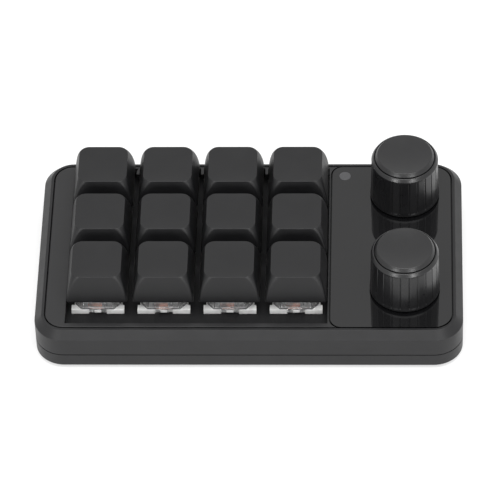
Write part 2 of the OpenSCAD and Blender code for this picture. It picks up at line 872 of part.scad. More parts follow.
// Small parts beside the chip: the crystal, the regulator and four capacitors
module board_small_parts() {
    color([0.6, 0.55, 0.45])
        translate([chip_at[0], chip_at[1], board_z]) {
            translate([neighbour_gap + crystal_size[0], 0, crystal_size[2] / 2])
                cube(crystal_size, center = true);
            translate([0, neighbour_gap + regulator_size[1], regulator_size[2] / 2])
                cube(regulator_size, center = true);
            for (n = [-1.5 : 1.5])
                translate([n * capacitor_pitch, -neighbour_gap - capacitor_size[1], capacitor_size[2] / 2])
                    cube(capacitor_size, center = true);
        }
}

module data_socket() {
    inner_w = socket_w - 2 * socket_wall;
    inner_h = socket_h - 2 * socket_wall;
    color([0.75, 0.76, 0.78])
        translate([socket_x, socket_y1, board_z + socket_h / 2])
            rotate([90, 0, 0])
                linear_extrude(socket_l)
                    difference() {
                        rounded(socket_w, socket_h, socket_h / 3);
                        rounded(inner_w, inner_h, socket_h / 3 - socket_wall);
                    }
}

module data_socket_tongue() {
    inner_gap = socket_wall + slack;
    color([0.08, 0.08, 0.08])
        translate([socket_x, socket_y0, board_z + socket_h / 2])
            rotate([-90, 0, 0]) {
                linear_extrude(socket_back_l)
                    rounded(socket_w - 2 * inner_gap, socket_h - 2 * inner_gap, socket_h / 3 - inner_gap);
                linear_extrude(socket_back_l + tongue_l)
                    square([tongue_w, tongue_t], center = true);
            }
}

module encoder_bases() {
    color([0.1, 0.1, 0.11])
        at_knobs()
            difference() {
                translate([0, 0, board_z])
                    linear_extrude(enc_base_h)
                        square(enc_w, center = true);
                translate([0, 0, enc_cavity_z])
                    cylinder(r = enc_cavity_r, h = enc_base_h);
            }
}

// The steel strap over an encoder, with a leg through the board at its front and its back
module encoder_brackets() {
    color([0.72, 0.72, 0.73])
        at_knobs() {
            difference() {
                translate([0, 0, enc_neck_z + enc_wall_t / 2])
                    cube([strap_w, enc_w + 2 * enc_wall_t, enc_wall_t], center = true);
                translate([0, 0, enc_neck_z - over])
                    cylinder(d = neck_d + 2 * tiny, h = 2 * over + enc_wall_t);
            }
            for (a = [0, 180])
                rotate(a) {
                    box(-strap_w / 2, strap_w / 2, enc_w / 2, enc_w / 2 + enc_wall_t,
                        board_z + tiny, enc_neck_z + enc_wall_t);
                    box(-enc_leg_w / 2, enc_leg_w / 2, enc_w / 2, enc_w / 2 + enc_wall_t,
                        board_under_z - pin_tail, board_z + over);
                }
        }
}

module encoder_bushings() {
    color([0.78, 0.78, 0.8])
        at_knobs()
            difference() {
                union() {
                    translate([0, 0, enc_flange_z])
                        linear_extrude(enc_flange_h)
                            square(enc_w - 2 * slack, center = true);
                    translate([0, 0, enc_neck_z - sink])
                        cylinder(d = neck_d, h = neck_l + sink);
                }
                translate([0, 0, enc_flange_z - over])
                    cylinder(d = shaft_d + 2 * running, h = enc_flange_h + neck_l + 2 * over);
            }
}

// Three signal pins at an encoder's left and two push pins at its right
function encoder_pin_places() = concat(
    [for (s = [-1, 0, 1]) [-(enc_w / 2 + enc_pin_out), s * enc_pin_pitch]],
    [for (s = [-1, 1]) [enc_w / 2 + enc_pin_out, s * enc_pin_pitch]]
);

module encoder_pins() {
    color([0.8, 0.75, 0.55])
        at_knobs()
            for (p = encoder_pin_places()) {
                inner_x = sign(p[0]) * enc_w / 2;
                outer_x = p[0] + sign(p[0]) * pin_t / 2;
                box(min(inner_x, outer_x), max(inner_x, outer_x), p[1] - pin_w / 2, p[1] + pin_w / 2,
                    board_z + enc_pin_lift, board_z + enc_pin_lift + contact_t);
                box(p[0] - pin_t / 2, p[0] + pin_t / 2, p[1] - pin_w / 2, p[1] + pin_w / 2,
                    board_under_z - pin_tail, board_z + enc_pin_lift + contact_t);
            }
}

// The click dome under each shaft
module encoder_domes() {
    color([0.8, 0.8, 0.78])
        at_knobs()
            translate([0, 0, enc_cavity_z])
                cylinder(r1 = dome_r, r2 = dome_r / 2, h = dome_h);
}

// The shaft's flattened lower end, or the slot for it when grown
module shaft_key(grow) {
    intersection() {
        circle(d = shaft_key_d + 2 * grow);
        square([shaft_key_w + 2 * grow, 2 * shaft_d], center = true);
    }
}

module encoder_rotor(k) {
    color([0.85, 0.83, 0.75])
        translate(knob_place(k))
            translate([0, 0, rotor_z])
                linear_extrude(rotor_t)
                    difference() {
                        circle(r = rotor_r);
                        shaft_key(running);
                    }
}

module encoder_shaft(k) {
    color([0.8, 0.8, 0.82])
        translate(knob_place(k)) {
            translate([0, 0, shaft_z])
                linear_extrude(shaft_shoulder_z - shaft_z + sink)
                    shaft_key(0);
            translate([0, 0, shaft_shoulder_z])
                cylinder(d = shaft_d, h = hub_z - shaft_shoulder_z);
            translate([0, 0, hub_z - sink])
                linear_extrude(shaft_top_z - hub_z + sink)
                    d_shape(0);
        }
}

// The shaft's D-shaped upper end, or the bore for it when grown
module d_shape(grow) {
    difference() {
        circle(d = shaft_d + 2 * grow);
        translate([-shaft_d, shaft_d / 2 - shaft_flat + grow])
            square(2 * shaft_d);
    }
}

module knob_skirt(k) {
    inner_r = knob_base_r - base_ring_w - knob_wall;
    shoulder_r = knob_top_r - shoulder_w;
    color([0.1, 0.1, 0.11])
        translate(knob_place(k))
            difference() {
                rotate_extrude()
                    polygon([
                        [inner_r, knob_z],
                        [knob_base_r, knob_z],
                        [knob_base_r - base_ring_w, knob_z + base_ring_h],
                        [knob_top_r, rib_top_z],
                        [shoulder_r, rim_z],
                        [shoulder_r - knob_rim_w, rim_z],
                        [shoulder_r - knob_rim_w, seat_z],
                        [0, seat_z],
                        [0, hub_z],
                        [hub_r, hub_z],
                        [hub_r, cavity_top_z],
                        [inner_r, cavity_top_z]
                    ]);
                translate([0, 0, hub_z - over])
                    linear_extrude(bore_top_z - hub_z + over)
                        d_shape(press);
                for (a = [0 : rib_count - 1])
                    rotate((a + 0.5) * 360 / rib_count)
                        box(knob_top_r - rib_groove_depth, knob_base_r + over,
                            -rib_groove_w / 2, rib_groove_w / 2,
                            knob_z + base_ring_h + rib_end_gap, rib_top_z - rib_end_gap);
            }
}

module knob_cap(k) {
    top_z = knob_z + knob_h;
    color([0.12, 0.12, 0.13])
        translate(knob_place(k))
            rotate_extrude()
                polygon(concat(
                    [[0, seat_z], [knob_cap_r, seat_z], [knob_cap_r, rim_z + cap_side_h]],
                    [[knob_cap_r - cap_bevel[0], top_z - cap_edge_drop], [knob_cap_r - cap_bevel[1], top_z]],
                    [for (s = [dish_steps : -1 : 0])
                        let (q = s / dish_steps) [dish_r * q, top_z - cap_lip_drop - knob_dish * (1 - q * q)]]
                ));
}

module case_screws() {
    color([0.3, 0.3, 0.32])
        at_posts()
            difference() {
                union() {
                    translate([0, 0, head_z - head_h])
                        cylinder(d = head_d, h = head_h);
                    translate([0, 0, head_z - sink])
                        cylinder(d = screw_d, h = screw_l + sink);
                }
                for (a = [0, 90])
                    rotate(a)
                        translate([0, 0, head_z - head_h])
                            cube([head_slot_l, head_slot_w, 2 * head_slot_depth], center = true);
            }
}

module rubber_feet() {
    color([0.16, 0.16, 0.16])
        for (x = [-1, 1], y = [-1, 1])
            translate([x * foot_x, y * foot_y, 0]) {
                cylinder(d1 = foot_d - 2 * foot_edge, d2 = foot_d, h = foot_edge);
                translate([0, 0, foot_edge])
                    cylinder(d = foot_d, h = base_z + foot_sink - foot_edge);
            }
}

bottom_case();
top_case();
key_bezel();
knob_panel();
indicator_window();
indicator_lamp();
switch_plate();
switch_bottoms();
switch_tops();
switch_contacts();
key_springs();
main_board();
controller_chip();
board_diodes();
board_small_parts();
data_socket();
data_socket_tongue();
encoder_bases();
encoder_brackets();
encoder_bushings();
encoder_pins();
encoder_domes();
case_screws();
rubber_feet();
for (k = [1 : 2]) {
    encoder_rotor(k);
    encoder_shaft(k);
    knob_skirt(k);
    knob_cap(k);
}
for (k = [1 : key_count]) {
    keycap(k);
    key_stem(k);
}
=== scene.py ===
"""Dresses the desk keypad: keycaps, knobs, switch springs, edges, finishes and the studio around it.

Sizes are in metres, in the CAD model's frame: +X to the right, +Y away from the user, +Z up, and the desk at
zero.
"""

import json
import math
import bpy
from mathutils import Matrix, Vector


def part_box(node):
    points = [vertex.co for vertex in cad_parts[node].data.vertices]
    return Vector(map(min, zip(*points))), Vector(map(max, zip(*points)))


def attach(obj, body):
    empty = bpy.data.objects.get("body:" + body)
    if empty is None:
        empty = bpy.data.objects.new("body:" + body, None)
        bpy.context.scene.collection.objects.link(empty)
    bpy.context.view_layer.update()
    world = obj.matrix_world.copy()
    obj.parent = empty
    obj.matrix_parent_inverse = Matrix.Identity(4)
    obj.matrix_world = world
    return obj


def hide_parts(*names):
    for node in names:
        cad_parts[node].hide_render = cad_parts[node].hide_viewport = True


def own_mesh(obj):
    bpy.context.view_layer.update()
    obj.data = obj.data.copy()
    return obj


bl_info = {
    "name": "Desk keypad with knobs",
    "version": (1, 0, 0),
    "blender": (4, 5, 0),
    "location": "3D View > Sidebar > Keypad",
    "description": "Builds the visible pieces of a desk keypad round its CAD model",
    "category": "Object",
}

import bpy
import numpy as np
from bpy.props import FloatProperty, FloatVectorProperty, IntProperty, PointerProperty
from mathutils import Matrix, Vector

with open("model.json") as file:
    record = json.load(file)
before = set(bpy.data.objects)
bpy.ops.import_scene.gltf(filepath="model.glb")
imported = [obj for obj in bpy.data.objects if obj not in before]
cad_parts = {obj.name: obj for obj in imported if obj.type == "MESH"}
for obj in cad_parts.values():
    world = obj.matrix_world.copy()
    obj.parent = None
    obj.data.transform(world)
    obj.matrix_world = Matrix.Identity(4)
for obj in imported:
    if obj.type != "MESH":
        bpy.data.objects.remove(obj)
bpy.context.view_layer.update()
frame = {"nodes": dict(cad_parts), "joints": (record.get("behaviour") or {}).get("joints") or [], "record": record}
MM = 0.001
KEYS = sorted(int(n.split("_")[1]) for n in frame["nodes"] if n.startswith("keycap_"))
KNOBS = sorted(int(n.split("_")[2]) for n in frame["nodes"] if n.startswith("knob_skirt_"))
SLOT_OF = {part["node"]: part["material_slot"] for part in frame["record"]["subparts"]}
KEYCAP_LOW, KEYCAP_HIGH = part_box("keycap_1")
SKIRT_LOW, SKIRT_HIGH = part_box("knob_skirt_1")
CAP_LOW, CAP_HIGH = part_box("knob_cap_1")
SHAFT_LOW, SHAFT_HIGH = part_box("encoder_shaft_1")
SPRING_LOW, SPRING_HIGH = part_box("key_springs")


def middle(node):
    """The middle of a CAD node's box, seen from above."""
    low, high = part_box(node)
    return Vector(((low.x + high.x) / 2, (low.y + high.y) / 2, 0))


# ---------------------------------------------------------------- settings


def length(name, description, default):
    """A property for one length, whose default is in metres."""
    return FloatProperty(
        name=name, description=description, default=default, min=0, unit="LENGTH", precision=5
    )


def colour(name, description, default):
    """A property for one linear colour."""
    return FloatVectorProperty(
        name=name, description=description, default=default, min=0, max=1, subtype="COLOR"
    )


class KeycapSizes(bpy.types.PropertyGroup):
    """Sizes of a keycap."""

    base_width: length("Base width", "Width of a keycap at its base", KEYCAP_HIGH.x - KEYCAP_LOW.x)
    top_width: length("Top width", "Width of a keycap across its top", 14.2 * MM)
    base_corner: length("Base corner", "Corner radius at the base", 0.8 * MM)
    top_corner: length("Top corner", "Corner radius at the top", 2.8 * MM)
    edge: length("Top edge", "Radius of the rounding between a side and the top", 0.14 * MM)
    dish: length("Dish", "Depth of the dish in the top", 0.5 * MM)
    wall: length("Wall", "Thickness of the side walls", 1.25 * MM)
    roof: length("Roof", "Thickness of the top under its dish", 1.4 * MM)
    post: length("Post", "Radius of the post that takes the stem", 2.75 * MM)
    post_bore: length("Post bore", "Radius of the post's bore", 2.05 * MM)
    bulge: FloatProperty(
        name="Bulge", description="How much the sides curve out: 1 is straight", default=1.46, min=1
    )
    corner_bulge: FloatProperty(
        name="Corner bulge", description="How late the corners round off on the way up", default=3.8, min=1
    )


class KnobSizes(bpy.types.PropertyGroup):
    """Sizes of a knob."""

    ribs: IntProperty(name="Ribs", description="Number of ribs round a knob", default=24, min=8)
    groove_width: length("Groove width", "Width of a groove between two ribs", 0.34 * MM)
    groove_depth: length("Groove depth", "Depth of a groove between two ribs", 0.2 * MM)
    ring_height: length("Base ring height", "Height of the plain ring at the base", 0.7 * MM)
    ring_width: length("Base ring width", "How far the base ring stands out", 0.1 * MM)
    top_radius: length("Top radius", "Radius at the top of the ribs", 9.75 * MM)
    shoulder_width: length("Shoulder width", "Width of the sloping shoulder", 0.6 * MM)
    shoulder_height: length("Shoulder height", "Height of the sloping shoulder", 1.0 * MM)
    rim_width: length("Rim width", "Width of the thin rim round the cap", 0.3 * MM)
    seat_depth: length("Seat depth", "How far the cap sits below the rim", 0.9 * MM)
    wall: length("Wall", "Thickness of the skirt's wall", 1.5 * MM)
    roof: length("Roof", "Thickness of the skirt's top under the cap", 1.6 * MM)
    hub_radius: length("Hub radius", "Radius of the hub on the shaft", 5 * MM)
    edge: length("Edge", "Radius of the knob's small roundings", 0.15 * MM)
    bevel_width: length("Cap bevel width", "Width of the bevel round the cap", 0.7 * MM)
    bevel_height: length("Cap bevel height", "Height of the bevel round the cap", 1.05 * MM)
    dish: length("Dish", "Depth of the dish in the cap", 0.8 * MM)
    dish_radius: length("Dish radius", "Radius of the dish in the cap", 7.35 * MM)


class SpringSizes(bpy.types.PropertyGroup):
    """Sizes of a key's return spring."""

    coil: length("Coil radius", "Radius of the coil to the wire's middle", 2.1 * MM)
    wire: length("Wire radius", "Radius of the wire", 0.14 * MM)
    turns: FloatProperty(name="Turns", description="Turns in one spring", default=11, min=3)
    seat_gap: length("Seat gap", "Gap between a spring's end and the stem above it", 0.05 * MM)


class EdgeSizes(bpy.types.PropertyGroup):
    """Roundings of the moulded edges."""

    case: length("Case", "Rounding of the case's edges", 0.05 * MM)
    inlay: length(
        "Bezel, socket and feet", "Rounding of the edges of the bezel, the socket and the feet", 0.08 * MM
    )
    small: length("Switches", "Rounding of the edges of the switch housings and their plate", 0.1 * MM)


class FinishColours(bpy.types.PropertyGroup):
    """Colours of the finishes, as linear values."""

    case: colour("Case", "Moulded plastic of the case", (0.0068, 0.0068, 0.0074))
    keycap: colour("Keycaps", "Moulded plastic of the keycaps", (0.0048, 0.0048, 0.0053))
    panel: colour("Knob panel", "Polished dark sheet", (0.004, 0.004, 0.0044))
    knob: colour("Knobs", "Moulded plastic of the knobs", (0.005, 0.005, 0.0055))
    plate: colour("Switch plate", "Black coating of the plate", (0.0045, 0.0045, 0.005))
    white: colour("White housing", "Moulded plastic of the lower housings", (0.78, 0.78, 0.77))
    clear: colour("Clear housing", "Clear plastic of the upper housings", (0.94, 0.94, 0.95))
    stem: colour("Stems", "Coloured plastic of the stems", (0.16, 0.06, 0.065))
    copper: colour("Contacts", "Rolled copper alloy", (0.96, 0.4, 0.24))
    steel: colour("Steel", "Plain steel of springs and screws", (0.58, 0.58, 0.6))
    board: colour("Board", "Solder mask of the circuit board", (0.008, 0.07, 0.033))
    window: colour("Indicator window", "Smoked window", (0.055, 0.055, 0.058))
    rubber: colour("Feet", "Rubber of the feet", (0.018, 0.018, 0.018))


class StageSettings(bpy.types.PropertyGroup):
    """Camera, floor and lamps."""

    elevation: FloatProperty(
        name="Elevation", description="The camera's height above the horizon", default=math.radians(46.786),
        subtype="ANGLE"
    )
    azimuth: FloatProperty(
        name="Azimuth", description="The camera's turn to the right", default=math.radians(2.98),
        subtype="ANGLE"
    )
    roll: FloatProperty(
        name="Roll", description="The camera's turn about its own axis", default=math.radians(-2.174),
        subtype="ANGLE"
    )
    distance: length("Distance", "Distance from the camera to its target", 1.2582)
    lens: FloatProperty(name="Lens", description="Focal length", default=307.08, unit="CAMERA")
    target: FloatVectorProperty(
        name="Target", description="The point that the camera looks at", default=(-0.000746, 0.010546, 0.001),
        subtype="TRANSLATION"
    )
    ambient: FloatProperty(name="Ambient", description="Light from all round", default=0.72, min=0)
    overhead: FloatProperty(
        name="Overhead", description="Power of the lamp overhead in watts", default=9, min=0
    )
    front: FloatProperty(
        name="Front", description="Power of each lamp in front in watts", default=2.2, min=0
    )
    floor_size: length("Floor size", "Width of the floor", 6.0)
    floor_glow: FloatProperty(
        name="Floor glow", description="Share of the floor that shows plain white", default=0.55, min=0, max=1
    )


class KeypadSettings(bpy.types.PropertyGroup):
    """All that a user of the keypad may change."""

    keycap: PointerProperty(type=KeycapSizes)
    knob: PointerProperty(type=KnobSizes)
    spring: PointerProperty(type=SpringSizes)
    edges: PointerProperty(type=EdgeSizes)
    colours: PointerProperty(type=FinishColours)
    stage: PointerProperty(type=StageSettings)


# ---------------------------------------------------------------- surfaces


def new_piece(name, points, faces, body, replaced):
    """Puts points and faces into a mesh object that rides on a body and stands for CAD nodes."""
    mesh = bpy.data.meshes.new(name)
    mesh.from_pydata(points, [], faces)
    mesh.polygons.foreach_set("use_smooth", np.ones(len(mesh.polygons), bool))
    mesh.validate()
    piece = bpy.data.objects.new(name, mesh)
    bpy.context.scene.collection.objects.link(piece)
    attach(piece, body)
    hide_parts(*replaced)
    return piece


def closed_rings(rings):
    """Faces over rings of points, shaped (rings, columns, 3), closed by a fan on a middle point at each end.

    Ring i, column j is joined to ring i + 1 and column j + 1, which wraps round.
    """
    count, columns = rings.shape[:2]
    ring = np.arange(count - 1)[:, None] * columns
    column = np.arange(columns)
    following = (column + 1) % columns
    quads = np.stack(
        [ring + column, ring + following, ring + columns + following, ring + columns + column], axis=-1
    )
    end = (count - 1) * columns
    first = count * columns
    last = first + 1
    faces = quads.reshape(-1, 4).tolist()
    faces += np.stack([following, column, np.full(columns, first)], axis=-1).tolist()
    faces += np.stack([end + column, end + following, np.full(columns, last)], axis=-1).tolist()
    return np.vstack([rings.reshape(-1, 3), rings[0].mean(0), rings[-1].mean(0)]), faces


def square_rings(half, corner, height, side_steps=10, corner_steps=8):
    """Rings of a square with round corners.

    A point is (half - corner) * C + corner * D, where C runs round a square of half-width 1 and D points
    straight out of its sides and turns through a quarter at each of its corners.
    """
    turn = np.linspace(0, math.pi / 2, corner_steps + 1)
    step = np.linspace(1, -1, side_steps + 1)[1:-1]
    corner_c = np.ones((corner_steps + 1, 2))
    corner_d = np.stack([np.cos(turn), np.sin(turn)], axis=-1)
    side_c = np.stack([step, np.ones_like(step)], axis=-1)
    side_d = np.tile([0.0, 1.0], (len(step), 1))
    quarter_c, quarter_d = np.vstack([corner_c, side_c]), np.vstack([corner_d, side_d])
    quarter_turn = np.array([[0, 1], [-1, 0]])
    path_c, path_d = [quarter_c], [quarter_d]
    for _ in range(3):
        path_c.append(path_c[-1] @ quarter_turn)
        path_d.append(path_d[-1] @ quarter_turn)
    c, d = np.vstack(path_c), np.vstack(path_d)
    half, corner, height = (np.asarray(v, float)[:, None] for v in (half, corner, height))
    flat = (half - corner)[..., None] * c + corner[..., None] * d
    return np.concatenate([flat, np.broadcast_to(height[..., None], flat.shape[:2] + (1,))], axis=-1)


def turned_rings(profile, columns, reach=None):
    """Rings of a turned shape: (r cos a, r sin a, z) for each (r, z) of a profile and each angle a.

    columns is the number of angles, or the angles themselves. reach, where given, is a function of the angles
    and the profile that returns the radius at each.
    """
    profile = np.asarray(profile, float)
    angle = columns if isinstance(columns, np.ndarray) else np.arange(columns) * 2 * math.pi / columns
    radius = profile[:, :1] * np.ones_like(angle) if reach is None else reach(angle, profile)
    height = profile[:, 1:] * np.ones_like(angle)
    return np.stack([radius * np.cos(angle), radius * np.sin(angle), height], axis=-1)


def rounded_profile(points, radii, steps=4, most=0.49):
    """A profile whose corners are rounded: each corner becomes a quadratic curve between the two points
    that lie its radius away along its sides, with the corner as the curve's middle handle. A rounding takes
    no more of a side than the share most."""
    points = np.asarray(points, float)
    out = [points[:1]]
    t = np.linspace(0, 1, steps + 1)[:, None]
    for before, here, after, radius in zip(points, points[1:], points[2:], radii):
        if radius <= 0:
            out.append(here[None])
            continue
        back, on = before - here, after - here
        start = here + back * min(radius / np.linalg.norm(back), most)
        end = here + on * min(radius / np.linalg.norm(on), most)
        out.append((1 - t) ** 2 * start + 2 * t * (1 - t) * here + t**2 * end)
    return np.vstack(out + [points[-1:]])


# ---------------------------------------------------------------- finishes


class Value:
    """A shader socket that can stand in an expression, where each operator adds its Math node."""

    def __init__(self, finish, socket):
        self.finish = finish
        self.socket = socket

    def math(self, operation, first, second):
        return self.finish.add("ShaderNodeMath", {"operation": operation}, {0: first, 1: second})

    def __mul__(self, other):
        return self.math("MULTIPLY", self, other)

    def __rmul__(self, other):
        return self.math("MULTIPLY", other, self)


class Finish:
    """A material or a world in the making: its node tree, and the one method that adds nodes to it."""

    def __init__(self, name, family="materials"):
        self.owner = getattr(bpy.data, family).new(name)
        self.owner.use_nodes = True
        self.tree = self.owner.node_tree
        self.tree.nodes.clear()

    def add(self, kind, settings=None, inputs=None, output=0):
        """Adds a node, makes its settings, fills its sockets with values or links, and returns an output."""
        node = self.tree.nodes.new(kind)
        for key, value in (settings or {}).items():
            setattr(node, key, value)
        for key, value in (inputs or {}).items():
            if isinstance(value, Value):
                self.tree.links.new(value.socket, node.inputs[key])
            else:
                node.inputs[key].default_value = value
        return Value(self, node.outputs[output]) if node.outputs else None

    def place(self):
        """The point on the object that is being shaded."""
        return self.add("ShaderNodeTexCoord", output="Object")

    def noise(self, size, detail, stretch=None):
        """Noise whose blobs are about size across, in metres. stretch scales the point along each axis."""
        vector = self.place()
        if stretch:
            vector = self.add("ShaderNodeMapping", {}, {"Vector": vector, "Scale": stretch})
        return self.add(
            "ShaderNodeTexNoise",
            {},
            {"Vector": vector, "Scale": 1 / size, "Detail": detail, "Roughness": 0.55},
        )

    def spread(self, value, low, high, start=0.0, end=1.0):
        """value taken from the range start to end into the range low to high."""
        return self.add(
            "ShaderNodeMapRange",
            {},
            {"Value": value, "From Min": start, "From Max": end, "To Min": low, "To Max": high},
        )

    def blend(self, factor, first, second):
        """One colour turning into another as factor goes from 0 to 1, by the Mix node's colour sockets."""
        colour_a, colour_b, result = 6, 7, 2
        return self.add(
            "ShaderNodeMix",
            {"data_type": "RGBA"},
            {0: factor, colour_a: opaque(first), colour_b: opaque(second)},
            output=result,
        )

    def bump(self, height, distance):
        """A normal from a height map."""
        return self.add("ShaderNodeBump", {}, {"Height": height, "Distance": distance, "Strength": 1.0})

    def surface(self, **inputs):
        """Joins the surface itself to the material's output, and returns the material."""
        named = {key.replace("_", " ").title().replace("Ior", "IOR"): value for key, value in inputs.items()}
        shader = self.add("ShaderNodeBsdfPrincipled", {}, named)
        self.add("ShaderNodeOutputMaterial", {}, {"Surface": shader})
        return self.owner


def opaque(value):
    """A colour with its alpha, or the value as it is."""
    if isinstance(value, Value) or not hasattr(value, "__len__"):
        return value
    return (*value[:3], 1.0)


def scaled(shade, factor):
    """A colour times a number, kept within 0 and 1."""
    return tuple(min(1.0, channel * factor) for channel in shade)


def moulded_plastic(name, shade, roughness, grain=0.16 * MM, depth=0.004 * MM, cloud=9 * MM, gloss=0.5):
    """Moulded plastic: a fine spark-eroded grain, faint clouds in its colour, and patches of a duller
    touch."""
    swing = 0.035
    finish = Finish(name)
    clouds = finish.noise(cloud, 3)
    fine = finish.noise(grain, 2)
    touch = finish.noise(cloud / 3, 4)
    tone = finish.blend(finish.spread(clouds, 0, 1, 0.3, 0.7), scaled(shade, 0.86), scaled(shade, 1.16))
    return finish.surface(
        base_color=finish.blend(finish.spread(fine, 0, 0.35, 0.4, 0.8), tone, scaled(shade, 1.5)),
        roughness=finish.spread(touch, roughness - swing, roughness + swing, 0.3, 0.7),
        normal=finish.bump(fine, depth),
        specular_ior_level=gloss,
    )


def polished_sheet(name, shade):
    """Polished dark acrylic: almost a mirror, with a faint waviness and a few dull smears."""
    finish = Finish(name)
    wave = finish.noise(14 * MM, 1)
    smear = finish.noise(7 * MM, 5, stretch=(1, 2.5, 1))
    specks = finish.noise(0.35 * MM, 1)
    return finish.surface(
        base_color=finish.blend(finish.spread(specks, 0, 1, 0.62, 0.78), shade, scaled(shade, 1.8)),
        roughness=finish.spread(smear, 0.045, 0.1, 0.45, 0.75),
        normal=finish.bump(wave, 0.002 * MM),
        ior=1.53,
    )


def clear_plastic(name, shade):
    """Clear moulded plastic with flow clouds and a lightly frosted skin."""
    finish = Finish(name)
    flow = finish.noise(1.6 * MM, 3)
    fine = finish.noise(0.3 * MM, 2)
    return finish.surface(
        base_color=finish.blend(finish.spread(flow, 0, 1, 0.3, 0.7), scaled(shade, 0.88), scaled(shade, 1.1)),
        roughness=finish.spread(flow, 0.03, 0.09, 0.3, 0.7),
        normal=finish.bump(fine, 0.002 * MM),
        transmission_weight=0.9,
        ior=1.57,
    )


def metal(name, shade, roughness, stretch=(1, 1, 1), streak=0.25 * MM, depth=0.003 * MM):
    """Bare metal with fine streaks along its longest grain and patches of tarnish."""
    finish = Finish(name)
    grain = finish.noise(streak, 3, stretch=stretch)
    tarnish = finish.noise(4 * MM, 3)
    dull = finish.blend(finish.spread(tarnish, 0, 1, 0.35, 0.75), shade, scaled(shade, 0.72))
    return finish.surface(
        base_color=finish.blend(finish.spread(grain, 0, 0.4, 0.4, 0.7), dull, scaled(shade, 1.25)),
        roughness=finish.spread(grain, roughness - 0.07, roughness + 0.08, 0.3, 0.7),
        normal=finish.bump(grain, depth),
        metallic=1.0,
    )


def turned_metal(name, shade, roughness, centre):
    """Metal turned on a lathe: rings round an upright axis through centre, and a little tarnish."""
    finish = Finish(name)
    shifted = finish.add("ShaderNodeMapping", {}, {"Vector": finish.place(), "Location": -centre})
    rings = finish.add(
        "ShaderNodeTexWave",
        {"wave_type": "RINGS", "rings_direction": "Z"},
        {"Vector": shifted, "Scale": 1 / (0.6 * MM), "Distortion": 0.4, "Detail": 2},
        output=1,
    )
    tarnish = finish.noise(3 * MM, 3)
    return finish.surface(
        base_color=finish.blend(finish.spread(tarnish, 0, 1, 0.35, 0.75), shade, scaled(shade, 0.75)),
        roughness=finish.spread(rings, roughness - 0.05, roughness + 0.08),
        normal=finish.bump(rings, 0.002 * MM),
        metallic=1.0,
    )


def solder_mask(name, shade):
    """A circuit board: solder mask over copper tracks, which show as slightly paler, raised lines."""
    finish = Finish(name)
    place = finish.place()
    cells = finish.add(
        "ShaderNodeTexBrick",
        {"offset": 0.5, "squash": 1.0},
        {
            "Vector": place, "Scale": 1 / (2.6 * MM), "Mortar Size": 0.07, "Brick Width": 1.7,
            "Row Height": 0.6,
        },
        output=1,
    )
    weave = finish.noise(0.5 * MM, 2)
    tracks = finish.blend(cells, shade, scaled(shade, 1.7))
    return finish.surface(
        base_color=finish.blend(finish.spread(weave, 0, 0.3, 0.4, 0.8), tracks, scaled(shade, 0.6)),
        roughness=finish.spread(weave, 0.24, 0.34),
        normal=finish.bump(cells, 0.02 * MM),
    )


def rubber(name, shade):
    """Dull rubber with a fine sandy skin and paler scuffs."""
    finish = Finish(name)
    sand = finish.noise(0.22 * MM, 3)
    scuffs = finish.noise(1.8 * MM, 4)
    return finish.surface(
        base_color=finish.blend(finish.spread(scuffs, 0, 1, 0.55, 0.8), shade, scaled(shade, 2.2)),
        roughness=finish.spread(scuffs, 0.72, 0.88, 0.3, 0.7),
        normal=finish.bump(sand, 0.02 * MM),
        specular_ior_level=0.3,
    )


def lamp_resin(name):
    """A small lamp: pale phosphor under clear resin."""
    finish = Finish(name)
    phosphor = finish.noise(0.5 * MM, 3)
    return finish.surface(
        base_color=finish.blend(phosphor, (0.78, 0.72, 0.36), (0.86, 0.84, 0.68)),
        roughness=finish.spread(phosphor, 0.14, 0.24),
        normal=finish.bump(phosphor, 0.004 * MM),
        coat_weight=0.6,
    )


